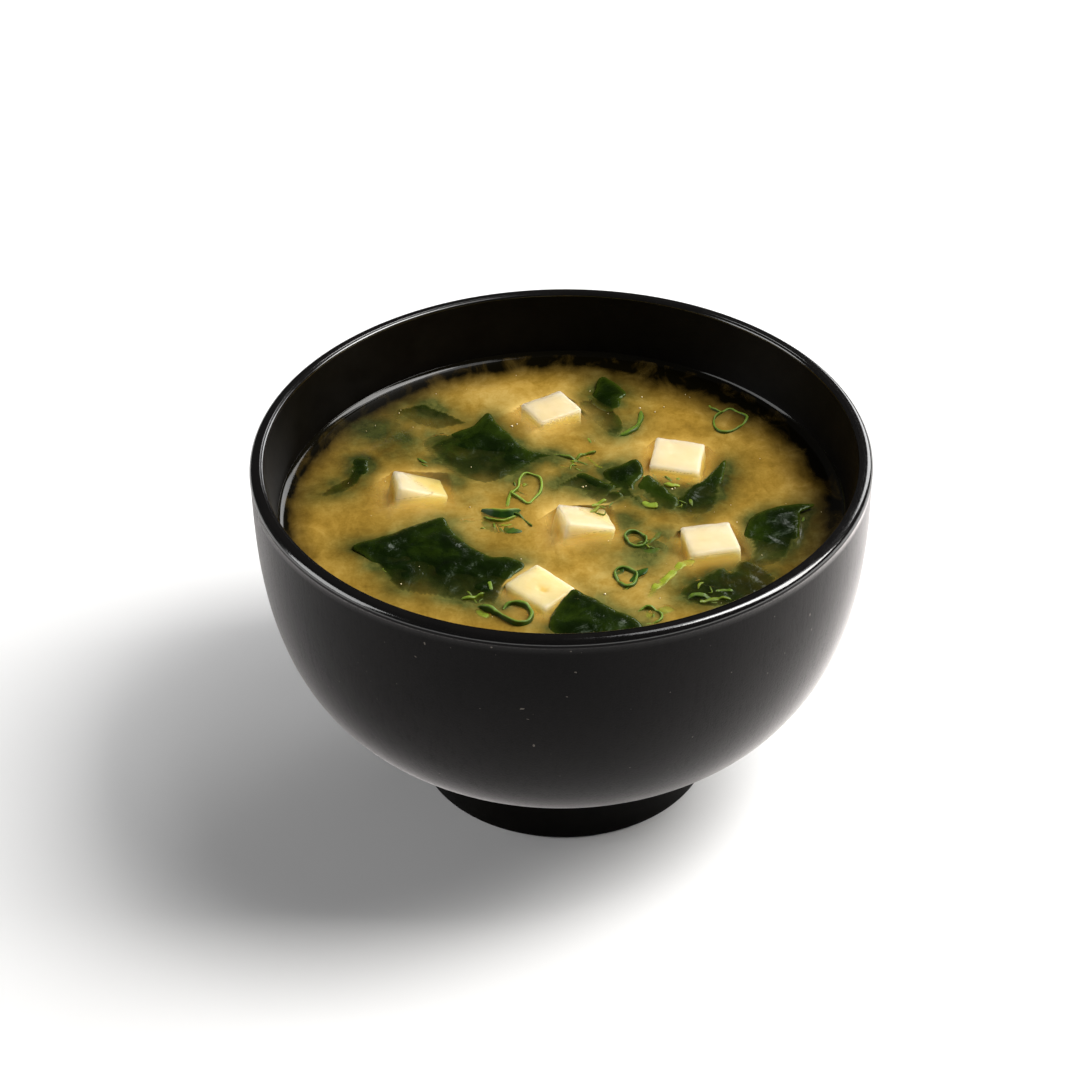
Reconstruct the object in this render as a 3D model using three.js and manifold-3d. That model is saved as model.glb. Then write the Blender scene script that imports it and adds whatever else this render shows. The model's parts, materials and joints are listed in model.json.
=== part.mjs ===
// Miso soup served in a black, footed soup bowl.
// Units are millimetres, +Z is up, and the origin is the middle of the foot's
// underside, on the surface that the bowl stands on.
// Seen from the front (looking along +Y), +X is to the right.

import * as THREE from 'three';
import { mergeVertices } from 'three/addons/utils/BufferGeometryUtils.js';
import Module from 'manifold-3d';

// ---------------------------------------------------------------- dimensions

const BOWL_H = 70.3;            // foot to rim
const LIP_R = 57.5;             // outside radius of the polished rim
const BODY_R = 57.4;            // outside radius of the body just under the rim
const LIP_BAND = 1.7;           // height of the polished rim
const LIP_ROUND = 1.2;          // rounding of the lip's outer edge
const MOUTH_R = 54.85;          // inside radius at the rim
const BODY_Z0 = 13.36;          // where the body's outer curve would meet the axis
const BODY_P = 2.8;             // outer curve: fullness low down
const BODY_Q = 4.0;             // outer curve: steepness of the wall
const INNER_Z0 = 18.0;          // inside floor
const INNER_P = 1.2;            // inner curve, same meaning
const INNER_Q = 5.6;
const FOOT_R = 28.35;           // outside radius of the foot ring
const FOOT_WALL = 3.6;          // thickness of the foot ring
const FOOT_RECESS = 12.0;       // depth of the hollow under the base
const FOOT_CHAMFER = 0.5;

const SOUP_Z = 57.0;            // level of the soup
const MENISCUS = 0.9;           // how far the soup climbs the wall
const MENISCUS_W = 2.2;         // width of that climb
const GAP = 0.3;                // clearance between touching pieces
const POCKET = 1.0;             // room round a leaf in the soup

const ROUND_SEGMENTS = 48;

// Tofu dice: place of the middle of the top face, the three edge lengths,
// the heading of the first edge and how far it and the second edge dip.
const TOFU = [
  { x: -1.7, y: 33.6, top: 58.0, a: 9.3, b: 8.2, h: 9.4, yaw: 30.7, dipA: 0.0, dipB: 1.5 },
  { x: 22.6, y: 16.4, top: 58.0, a: 9.8, b: 9.9, h: 9.3, yaw: -14.0, dipA: 1.0, dipB: 0.5 },
  { x: -26.4, y: 9.0, top: 56.9, a: 9.8, b: 9.0, h: 9.4, yaw: 8.0, dipA: 20.0, dipB: 12.0 },
  { x: 4.6, y: -3.2, top: 57.6, a: 9.6, b: 9.2, h: 9.4, yaw: 10.5, dipA: 16.0, dipB: 11.0 },
  { x: 27.4, y: -11.2, top: 58.0, a: 9.5, b: 9.1, h: 9.3, yaw: 10.5, dipA: 0.5, dipB: 1.0 },
  { x: -4.2, y: -24.7, top: 58.0, a: 10.3, b: 8.4, h: 9.4, yaw: -45.8, dipA: 2.0, dipB: 0.0 },
];
const TOFU_ROUND = 0.7;         // softness of a die's edges
const TOFU_SAG = 0.25;          // how far the middle of a face falls in

// Leaves of wakame: corners of each leaf's outline, walked round, and the
// height of its middle above the soup's level.
const LEAF_THICK = 1.5;
const LEAF_WAVE = 0.45;         // height of the ripples in a leaf
const LEAF_RIPPLES = 3;
const LEAVES = [
  { lift: 0.2, edge: [[-38.6, -10.6], [-29.3, -5.6], [-22.6, -2.6], [-18.0, -9.2], [-11.5, -14.6], [-14.0, -24.4], [-23.0, -26.2], [-32.0, -18.8]] },
  { lift: 0.2, edge: [[-13.9, 31.8], [-7.7, 24.2], [-2.0, 18.2], [-12.3, 10.2], [-19.2, 16.4], [-25.0, 21.4], [-19.5, 26.0]] },
  { lift: 0.0, edge: [[-38.9, 17.0], [-36.6, 15.0], [-37.8, 9.6], [-45.0, 4.4], [-41.5, 10.0]] },
  { lift: 0.2, edge: [[8.7, 43.6], [12.7, 38.6], [13.0, 34.2], [15.2, 31.0], [9.2, 25.6], [6.0, 33.6]] },
  { lift: 0.1, edge: [[-0.2, 8.9], [7.5, 12.9], [14.6, 15.2], [15.4, 11.6], [12.4, 6.1], [12.8, 1.6], [8.6, 4.6]] },
  { lift: 0.1, edge: [[17.6, 6.8], [24.6, 9.4], [31.4, 14.6], [30.4, 4.6], [24.3, -1.0], [19.8, 1.0]] },
  { lift: 0.2, edge: [[37.3, -1.8], [46.4, 0.2], [44.2, -3.8], [43.0, -9.2], [37.9, -16.2], [35.0, -7.6]] },
  { lift: 0.3, edge: [[-2.3, -34.4], [1.7, -29.0], [4.4, -26.0], [8.3, -29.4], [13.2, -34.6], [5.0, -36.8]] },
];

// ------------------------------------------------------------------- helpers

const wasm = await Module();
wasm.setup();

const deg = THREE.MathUtils.degToRad;

function welded(geometry) {
  const g = geometry.clone();
  for (const name of Object.keys(g.attributes)) {
    if (name !== 'position') g.deleteAttribute(name);
  }
  return mergeVertices(g, 1e-4);
}

function solid(geometry) {
  const g = welded(geometry);
  return new wasm.Manifold(new wasm.Mesh({
    numProp: 3,
    vertProperties: new Float32Array(g.attributes.position.array),
    triVerts: new Uint32Array(g.index.array),
  }));
}

function geometryOf(manifold) {
  const m = manifold.getMesh();
  const g = new THREE.BufferGeometry();
  g.setAttribute('position', new THREE.BufferAttribute(new Float32Array(m.vertProperties), 3));
  g.setIndex(new THREE.BufferAttribute(new Uint32Array(m.triVerts), 1));
  g.computeVertexNormals();
  return g;
}

// A profile of [radius, height] pairs turned about +Z.
function turned(profile, segments = ROUND_SEGMENTS) {
  const g = new THREE.LatheGeometry(profile.map(([r, z]) => new THREE.Vector2(r, z)), segments);
  g.rotateX(Math.PI / 2);
  return g;
}

function move(geometry, fn) {
  const p = geometry.attributes.position;
  const v = new THREE.Vector3();
  for (let i = 0; i < p.count; i++) {
    fn(v.fromBufferAttribute(p, i));
    p.setXYZ(i, v.x, v.y, v.z);
  }
  return geometry;
}

// ---------------------------------------------------------------------- bowl

const bodyRadius = (z) => {
  const t = (z - BODY_Z0) / (BOWL_H - LIP_ROUND - BODY_Z0);
  return BODY_R * (1 - (1 - t) ** BODY_P) ** (1 / BODY_Q);
};
const innerRadius = (z) => {
  const t = (z - INNER_Z0) / (BOWL_H - INNER_Z0);
  return MOUTH_R * (1 - (1 - t) ** INNER_P) ** (1 / INNER_Q);
};

function bowlProfile() {
  const p = [];
  const footIn = FOOT_R - FOOT_WALL;
  p.push([0, FOOT_RECESS], [footIn - 2.4, FOOT_RECESS - 0.4], [footIn - 0.6, FOOT_RECESS - 1.8]);
  p.push([footIn, FOOT_CHAMFER], [footIn + FOOT_CHAMFER, 0], [FOOT_R - FOOT_CHAMFER, 0], [FOOT_R, FOOT_CHAMFER]);
  // the body leaves the foot at the height where its curve reaches the foot's radius
  const t0 = 1 - (1 - (FOOT_R / BODY_R) ** BODY_Q) ** (1 / BODY_P);
  const zFoot = BODY_Z0 + t0 * (BOWL_H - LIP_ROUND - BODY_Z0);
  const zTop = BOWL_H - LIP_BAND;
  const steps = 12;
  for (let k = 0; k <= steps; k++) {
    const z = zFoot + (zTop - zFoot) * (k / steps) ** 1.8;
    p.push([bodyRadius(z), z]);
  }
  p.push([LIP_R, zTop + 0.3]);
  for (let k = 0; k <= 3; k++) {
    const a = (k / 3) * Math.PI / 2;
    p.push([LIP_R - LIP_ROUND + LIP_ROUND * Math.cos(a), BOWL_H - LIP_ROUND + LIP_ROUND * Math.sin(a)]);
  }
  p.push([MOUTH_R + 0.5, BOWL_H - 0.05], [MOUTH_R, BOWL_H - 0.6]);
  const inner = 11;
  for (let k = 1; k <= inner; k++) {
    const z = INNER_Z0 + (BOWL_H - 0.6 - INNER_Z0) * (1 - k / inner) ** 2.1;
    p.push([k === inner ? 0 : innerRadius(z), z]);
  }
  return p;
}

// ---------------------------------------------------------------------- tofu

// A soft-edged die with slightly hollow faces; grow makes it larger all round.
function tofuGeometry(d, grow = 0) {
  const n = 3;
  const g = welded(new THREE.BoxGeometry(2, 2, 2, n, n, n));
  const size = [d.a / 2 + grow, d.b / 2 + grow, d.h / 2 + grow];
  move(g, (v) => {
    const c = v.toArray();
    const edge = c.map((q) => Math.abs(q));
    const out = c.map((q, i) => {
      const others = [edge[(i + 1) % 3], edge[(i + 2) % 3]];
      const onFace = edge[i] > 0.999;
      const rounded = onFace ? TOFU_ROUND * 0.5 * (others[0] ** 6 + others[1] ** 6) * 0.5 : 0;
      const sag = onFace ? TOFU_SAG * (1 - others[0] ** 2) * (1 - others[1] ** 2) : 0;
      return Math.sign(q) * Math.max(0, size[i] * edge[i] - rounded - sag);
    });
    v.set(out[0], out[1], out[2]);
  });
  g.translate(0, 0, -d.h / 2);
  g.rotateX(deg(-d.dipB));
  g.rotateY(deg(d.dipA));
  g.rotateZ(deg(d.yaw));
  g.translate(d.x, d.y, d.top);
  return g;
}

// -------------------------------------------------------------------- wakame

// A thin rippled leaf: a ball flattened onto the leaf's smooth outline.
// As a pocket it is larger all round and runs up through the soup's surface.
function leafGeometry(leaf, pocket = false) {
  const around = 20, across = 6;
  const aside = pocket ? POCKET : 0;
  const under = pocket ? 2 * GAP : 0;
  const corners = leaf.edge.map(([x, y]) => new THREE.Vector3(x, y, 0)).reverse();
  const curve = new THREE.CatmullRomCurve3(corners, true, 'catmullrom', 0.42);
  const mid = corners.reduce((s, c) => s.add(c), new THREE.Vector3()).multiplyScalar(1 / corners.length);
  const g = welded(new THREE.SphereGeometry(1, around, across));
  return move(g, (v) => {
    const flat = Math.min(1, Math.hypot(v.x, v.z));
    const up = v.y;
    let turn = Math.atan2(v.x, v.z) / (2 * Math.PI);
    if (turn < 0) turn += 1;
    const rim = curve.getPoint(turn % 1).sub(mid);
    const reach = rim.length();
    const share = pocket && up > 0.01 ? Math.min(1, flat * 1.3) : flat;
    const out = rim.multiplyScalar(share * (reach + aside) / reach).add(mid);
    const ripple = LEAF_WAVE * flat ** 2 * Math.sin(LEAF_RIPPLES * 2 * Math.PI * turn + reach);
    const z = SOUP_Z + leaf.lift + ripple;
    if (pocket && up > 0.01) v.set(out.x, out.y, SOUP_Z + 4 + up);
    else v.set(out.x, out.y, z + up * LEAF_THICK / 2 - under);
  });
}

// ---------------------------------------------------------------------- soup

function soupProfile() {
  const p = [];
  const steps = 9;
  const top = SOUP_Z + MENISCUS;
  for (let k = 0; k <= steps; k++) {
    const z = INNER_Z0 + GAP + (top - INNER_Z0 - GAP) * (k / steps) ** 2.1;
    p.push([k === 0 ? 0 : innerRadius(z - GAP) - GAP, z]);
  }
  const wall = p[p.length - 1][0];
  p.push([wall - MENISCUS_W * 0.35, SOUP_Z + MENISCUS * 0.28]);
  p.push([wall - MENISCUS_W, SOUP_Z]);
  p.push([0, SOUP_Z]);
  return p;
}

// ------------------------------------------------------------------ assembly

const root = new THREE.Group();

function add(name, geometry, colour, roughness) {
  const mesh = new THREE.Mesh(geometry, new THREE.MeshStandardMaterial({ color: colour, roughness, metalness: 0 }));
  mesh.name = name;
  root.add(mesh);
}

add('bowl', turned(bowlProfile()), 0x1b191a, 0.5);

const dice = TOFU.map((d) => solid(tofuGeometry(d)));
const diceRoom = TOFU.map((d) => solid(tofuGeometry(d, GAP)));

let soup = solid(turned(soupProfile()));
for (const room of diceRoom) soup = soup.subtract(room);

LEAVES.forEach((leaf, i) => {
  let body = solid(leafGeometry(leaf));
  for (const room of diceRoom) body = body.subtract(room);
  soup = soup.subtract(solid(leafGeometry(leaf, true)));
  add(`wakame_${i + 1}`, geometryOf(body), 0x26330a, 0.3);
});
dice.forEach((die, i) => add(`tofu_${i + 1}`, geometryOf(die), 0xf6e2b4, 0.5));
add('soup', geometryOf(soup), 0xa4813a, 0.2);

export default root;
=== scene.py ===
import json
import math

import bpy
import numpy as np
from mathutils import Matrix, Vector
from mathutils.bvhtree import BVHTree
from mathutils.geometry import delaunay_2d_cdt

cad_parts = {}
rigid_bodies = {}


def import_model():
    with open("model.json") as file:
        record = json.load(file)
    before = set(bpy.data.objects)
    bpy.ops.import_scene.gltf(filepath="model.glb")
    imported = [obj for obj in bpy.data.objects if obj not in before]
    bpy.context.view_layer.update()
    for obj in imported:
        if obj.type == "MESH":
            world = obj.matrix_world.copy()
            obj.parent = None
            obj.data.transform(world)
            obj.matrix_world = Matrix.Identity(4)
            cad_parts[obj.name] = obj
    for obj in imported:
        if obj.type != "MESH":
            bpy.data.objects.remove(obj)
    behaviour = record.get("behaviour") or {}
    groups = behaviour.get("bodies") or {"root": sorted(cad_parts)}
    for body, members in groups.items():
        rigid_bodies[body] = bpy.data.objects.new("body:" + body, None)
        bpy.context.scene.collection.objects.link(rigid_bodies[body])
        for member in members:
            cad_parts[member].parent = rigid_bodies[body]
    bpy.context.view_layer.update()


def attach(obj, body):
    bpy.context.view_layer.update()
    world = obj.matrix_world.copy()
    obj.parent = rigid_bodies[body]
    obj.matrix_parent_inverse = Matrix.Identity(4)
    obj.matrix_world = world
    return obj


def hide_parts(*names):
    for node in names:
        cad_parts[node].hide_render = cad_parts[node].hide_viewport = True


for old in list(bpy.data.objects):
    bpy.data.objects.remove(old)

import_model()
scene = bpy.context.scene

# ------------------------------------------------------------------ dimensions
# Everything below is worked out in millimetres and written in metres.

MM = 0.001
BOWL_H, LIP_R, BODY_R = 70.3, 57.5, 57.4
LIP_BAND, LIP_ROUND, MOUTH_R = 1.7, 1.2, 54.85
BODY_Z0, BODY_P, BODY_Q = 13.36, 2.8, 4.0
INNER_Z0, INNER_P, INNER_Q = 18.0, 1.2, 5.6
FOOT_R, FOOT_WALL, FOOT_RECESS = 28.35, 3.6, 12.0
SOUP_Z = 57.0
MENISCUS, MENISCUS_W = 1.2, 0.8


def body_radius(z):
    t = (z - BODY_Z0) / (BOWL_H - LIP_ROUND - BODY_Z0)
    return BODY_R * (1 - (1 - t) ** BODY_P) ** (1 / BODY_Q)


def inner_radius(z):
    t = (z - INNER_Z0) / (BOWL_H - INNER_Z0)
    return MOUTH_R * (1 - (1 - t) ** INNER_P) ** (1 / INNER_Q)


# ---------------------------------------------------------------------- camera
# Fitted to the rim and foot outlines of the 1080 x 1080 photograph.

FOCAL_PX, ELEV, ROLL = 3113.9, math.radians(36.11), -0.01597
REF_U, REF_V, REF_DEPTH = 560.84, 449.86, 575.0
_ce, _se = math.cos(ELEV), math.sin(ELEV)
_cr, _sr = math.cos(ROLL), math.sin(ROLL)
VIEW = np.array([[_cr, -_sr, 0], [_sr, _cr, 0], [0, 0, 1]]) @ np.array([[1, 0, 0], [0, -_se, -_ce], [0, _ce, -_se]])
_tc = np.array([(REF_U - 540) / FOCAL_PX * REF_DEPTH, (REF_V - 540) / FOCAL_PX * REF_DEPTH, REF_DEPTH])
EYE = np.array([0, 0, BOWL_H]) - VIEW.T @ _tc


def at(u, v, h=0.0):
    """The point h mm above the soup's level that the photograph shows at pixel (u, v)."""
    d = np.array([(u - 540) / FOCAL_PX, (v - 540) / FOCAL_PX, 1.0]) @ VIEW
    return EYE + d * ((SOUP_Z + h - EYE[2]) / d[2])


def path_at(points):
    return np.array([at(*p) for p in points])


cam_data = bpy.data.cameras.new("camera")
cam_data.sensor_width = 36.0
cam_data.sensor_fit = "HORIZONTAL"
cam_data.lens = FOCAL_PX / 1080 * 36.0
cam_data.clip_start, cam_data.clip_end = 0.01, 20
camera = bpy.data.objects.new("camera", cam_data)
scene.collection.objects.link(camera)
axes = Matrix(((VIEW[0][0], -VIEW[1][0], -VIEW[2][0]), (VIEW[0][1], -VIEW[1][1], -VIEW[2][1]), (VIEW[0][2], -VIEW[1][2], -VIEW[2][2])))
camera.matrix_world = Matrix.Translation(Vector(EYE * MM)) @ axes.to_4x4()
scene.camera = camera

# --------------------------------------------------------------------- helpers


def srgb(r, g, b):
    c = np.array([r, g, b], float) / 255
    lin = np.where(c <= 0.04045, c / 12.92, ((c + 0.055) / 1.055) ** 2.4)
    return (float(lin[0]), float(lin[1]), float(lin[2]), 1.0)


def _hash(ix, iy, seed):
    n = (ix.astype(np.int64) * 374761393 + iy.astype(np.int64) * 668265263 + seed * 144269504) & 0xFFFFFFFF
    n = ((n ^ (n >> 13)) * 1274126177) & 0xFFFFFFFF
    return ((n ^ (n >> 16)) & 0xFFFF) / 32767.5 - 1.0


def noise2(x, y, scale, seed):
    """Smooth value noise from -1 to 1, with features about scale mm across."""
    x, y = np.asarray(x, float) / scale, np.asarray(y, float) / scale
    ix, iy = np.floor(x), np.floor(y)
    fx, fy = x - ix, y - iy
    fx = fx ** 3 * (fx * (fx * 6 - 15) + 10)
    fy = fy ** 3 * (fy * (fy * 6 - 15) + 10)
    a, b = _hash(ix, iy, seed), _hash(ix + 1, iy, seed)
    c, d = _hash(ix, iy + 1, seed), _hash(ix + 1, iy + 1, seed)
    return (a + (b - a) * fx) + ((c + (d - c) * fx) - (a + (b - a) * fx)) * fy


def fractal(x, y, scale, seed, octaves=3):
    total, amp = 0.0, 1.0
    for k in range(octaves):
        total = total + amp * noise2(x, y, scale / 2 ** k, seed + 17 * k)
        amp *= 0.5
    return total / 1.75


def smooth_step(a, b, x):
    t = np.clip((x - a) / (b - a), 0, 1)
    return t * t * (3 - 2 * t)


def make_piece(name, verts, faces, materials, face_slots=None, smooth=True, attributes=None):
    me = bpy.data.meshes.new(name)
    me.from_pydata((np.asarray(verts) * MM).tolist(), [], [list(map(int, f)) for f in faces])
    for m in materials:
        me.materials.append(m)
    if face_slots is not None:
        me.polygons.foreach_set("material_index", np.asarray(face_slots, dtype=np.int32))
    if smooth:
        me.polygons.foreach_set("use_smooth", np.ones(len(me.polygons), dtype=bool))
    for key, values in (attributes or {}).items():
        layer = me.attributes.new(key, "FLOAT", "POINT")
        layer.data.foreach_set("value", np.asarray(values, dtype=np.float32))
    me.update()
    ob = bpy.data.objects.new(name, me)
    scene.collection.objects.link(ob)
    return ob


def lathe(profile, segments):
    """A profile of (radius, height) that starts and ends on the axis, turned about +Z."""
    prof = np.asarray(profile, float)
    ang = np.arange(segments) * 2 * math.pi / segments
    ring = np.c_[np.cos(ang), np.sin(ang)]
    inner = prof[1:-1]
    verts = np.concatenate([np.c_[r * ring, np.full(segments, z)] for r, z in inner])
    verts = np.r_[verts, [[0, 0, prof[0][1]], [0, 0, prof[-1][1]]]]
    faces, span = [], []
    n = len(inner)
    first, last = n * segments, n * segments + 1
    nxt = (np.arange(segments) + 1) % segments
    for s in range(segments):
        faces.append((first, int(nxt[s]), s))
        span.append(0)
    for k in range(n - 1):
        a, b = k * segments, (k + 1) * segments
        for s in range(segments):
            faces.append((a + s, a + int(nxt[s]), b + int(nxt[s]), b + s))
            span.append(k + 1)
    a = (n - 1) * segments
    for s in range(segments):
        faces.append((a + s, a + int(nxt[s]), last))
        span.append(n)
    return verts, faces, np.array(span)


def spline(points, count, closed):
    """Catmull-Rom curve through points, sampled evenly along its length."""
    p = np.asarray(points, float)
    n = len(p)
    dense = []
    spans = n if closed else n - 1
    for i in range(spans):
        if closed:
            a, b, c, d = p[(i - 1) % n], p[i], p[(i + 1) % n], p[(i + 2) % n]
        else:
            a, b, c, d = p[max(i - 1, 0)], p[i], p[i + 1], p[min(i + 2, n - 1)]
        t = np.linspace(0, 1, 16, endpoint=False)[:, None]
        dense.append(0.5 * (2 * b + (c - a) * t + (2 * a - 5 * b + 4 * c - d) * t ** 2 + (3 * b - a - 3 * c + d) * t ** 3))
    dense = np.concatenate(dense + ([] if closed else [p[-1:]]))
    if closed:
        dense = np.r_[dense, dense[:1]]
    step = np.linalg.norm(np.diff(dense, axis=0), axis=1)
    s = np.r_[0, np.cumsum(step)]
    want = np.linspace(0, s[-1], count, endpoint=not closed)
    return np.stack([np.interp(want, s, dense[:, k]) for k in range(dense.shape[1])], axis=1)


def inside(poly, pts):
    x, y = pts[:, 0][:, None], pts[:, 1][:, None]
    x0, y0 = poly[:, 0][None], poly[:, 1][None]
    x1, y1 = np.roll(poly[:, 0], -1)[None], np.roll(poly[:, 1], -1)[None]
    hit = ((y0 > y) != (y1 > y)) & (x < (x1 - x0) * (y - y0) / (y1 - y0 + 1e-12) + x0)
    return hit.sum(1) % 2 == 1


def normals_of(verts, tris):
    n = np.zeros_like(verts)
    f = np.cross(verts[tris[:, 1]] - verts[tris[:, 0]], verts[tris[:, 2]] - verts[tris[:, 0]])
    for k in range(3):
        np.add.at(n, tris[:, k], f)
    return n / (np.linalg.norm(n, axis=1)[:, None] + 1e-12)


class Parts:
    """Several closed meshes gathered into one piece."""

    def __init__(self):
        self.verts, self.faces, self.extra, self.count = [], [], {}, 0

    def add(self, verts, faces, **extra):
        verts = np.asarray(verts, float)
        self.verts.append(verts)
        self.faces += [tuple(int(i) + self.count for i in f) for f in faces]
        for key, value in extra.items():
            self.extra.setdefault(key, []).append(np.broadcast_to(np.asarray(value, float), (len(verts),)))
        self.count += len(verts)

    def all(self):
        return np.concatenate(self.verts), self.faces, {k: np.concatenate(v) for k, v in self.extra.items()}


# ------------------------------------------------------------------- materials


def new_material(name):
    m = bpy.data.materials.new(name)
    m.use_nodes = True
    nt = m.node_tree
    return m, nt, nt.nodes["Principled BSDF"]


def node(nt, kind, **inputs):
    n = nt.nodes.new(kind)
    for key, value in inputs.items():
        n.inputs[key.replace("_", " ")].default_value = value
    return n


def noise_node(nt, scale, detail=4.0, rough=0.55, distortion=0.0, stretch=None):
    coords = nt.nodes.new("ShaderNodeTexCoord")
    tex = nt.nodes.new("ShaderNodeTexNoise")
    tex.inputs["Scale"].default_value = scale
    tex.inputs["Detail"].default_value = detail
    tex.inputs["Roughness"].default_value = rough
    tex.inputs["Distortion"].default_value = distortion
    if stretch:
        mapping = nt.nodes.new("ShaderNodeMapping")
        mapping.inputs["Scale"].default_value = stretch
        nt.links.new(coords.outputs["Object"], mapping.inputs["Vector"])
        nt.links.new(mapping.outputs["Vector"], tex.inputs["Vector"])
    else:
        nt.links.new(coords.outputs["Object"], tex.inputs["Vector"])
    return tex


def ramp(nt, source, stops):
    r = nt.nodes.new("ShaderNodeValToRGB")
    e = r.color_ramp.elements
    e[0].position, e[0].color = stops[0]
    e[1].position, e[1].color = stops[-1]
    for pos, col in stops[1:-1]:
        el = e.new(pos)
        el.color = col
    nt.links.new(source, r.inputs["Fac"])
    return r.outputs["Color"]


def mix_colour(nt, factor, a, b, kind="MIX"):
    m = nt.nodes.new("ShaderNodeMix")
    m.data_type = "RGBA"
    m.blend_type = kind
    m.clamp_factor = True
    for value, socket in ((factor, m.inputs[0]), (a, m.inputs[6]), (b, m.inputs[7])):
        if isinstance(value, bpy.types.NodeSocket):
            nt.links.new(value, socket)
        else:
            socket.default_value = value
    return m.outputs[2]


def math_node(nt, op, a, b=None, clamp=False):
    m = nt.nodes.new("ShaderNodeMath")
    m.operation = op
    m.use_clamp = clamp
    for value, socket in ((a, m.inputs[0]), (b, m.inputs[1])):
        if value is None:
            continue
        if isinstance(value, bpy.types.NodeSocket):
            nt.links.new(value, socket)
        else:
            socket.default_value = value
    return m.outputs[0]


def attribute(nt, name):
    a = nt.nodes.new("ShaderNodeAttribute")
    a.attribute_name = name
    return a.outputs["Fac"]


def bump(nt, height, strength, distance):
    b = nt.nodes.new("ShaderNodeBump")
    b.inputs["Strength"].default_value = strength
    b.inputs["Distance"].default_value = distance
    nt.links.new(height, b.inputs["Height"])
    return b.outputs["Normal"]


def bowl_satin():
    m, nt, p = new_material("bowl_satin")
    cloud = noise_node(nt, 70, 3, 0.5)
    grain = noise_node(nt, 900, 3, 0.6, stretch=(1, 1, 0.22))
    fine = noise_node(nt, 3200, 2, 0.5)
    speck = noise_node(nt, 1300, 0, 0.5)
    base = ramp(nt, cloud.outputs["Fac"], [(0.3, srgb(6, 5, 5)), (0.7, srgb(11, 9, 9))])
    dots = ramp(nt, speck.outputs["Fac"], [(0.865, (0, 0, 0, 1)), (0.88, (1, 1, 1, 1))])
    base = mix_colour(nt, dots, base, srgb(96, 90, 84))
    nt.links.new(base, p.inputs["Base Color"])
    rough = ramp(nt, grain.outputs["Fac"], [(0.3, (0.34, 0.34, 0.34, 1)), (0.7, (0.44, 0.44, 0.44, 1))])
    nt.links.new(rough, p.inputs["Roughness"])
    both = math_node(nt, "ADD", grain.outputs["Fac"], fine.outputs["Fac"])
    nt.links.new(bump(nt, both, 0.10, 0.0002), p.inputs["Normal"])
    p.inputs["IOR"].default_value = 1.14
    bloom = ramp(nt, both, [(0.75, (0.64, 0.64, 0.64, 1)), (1.25, (0.96, 0.96, 0.96, 1))])
    nt.links.new(bloom, p.inputs["Sheen Weight"])
    p.inputs["Sheen Roughness"].default_value = 0.3
    p.inputs["Sheen Tint"].default_value = (1.0, 0.95, 0.94, 1)
    return m


def bowl_gloss():
    m, nt, p = new_material("bowl_gloss")
    cloud = noise_node(nt, 160, 4, 0.6)
    wear = noise_node(nt, 700, 4, 0.65)
    base = ramp(nt, cloud.outputs["Fac"], [(0.3, srgb(6, 5, 5)), (0.72, srgb(12, 10, 9))])
    nt.links.new(base, p.inputs["Base Color"])
    rough = ramp(nt, wear.outputs["Fac"], [(0.3, (0.09, 0.09, 0.09, 1)), (0.75, (0.17, 0.17, 0.17, 1))])
    nt.links.new(rough, p.inputs["Roughness"])
    nt.links.new(bump(nt, wear.outputs["Fac"], 0.08, 0.0003), p.inputs["Normal"])
    p.inputs["IOR"].default_value = 1.75
    return m


def bowl_inside():
    m, nt, p = new_material("bowl_inside")
    cloud = noise_node(nt, 160, 4, 0.6)
    wear = noise_node(nt, 500, 4, 0.65)
    base = ramp(nt, cloud.outputs["Fac"], [(0.3, srgb(5, 4, 3)), (0.72, srgb(13, 11, 8))])
    nt.links.new(base, p.inputs["Base Color"])
    nt.links.new(bump(nt, wear.outputs["Fac"], 0.10, 0.0003), p.inputs["Normal"])
    p.inputs["Roughness"].default_value = 0.4
    p.inputs["IOR"].default_value = 1.14
    return m


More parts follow.
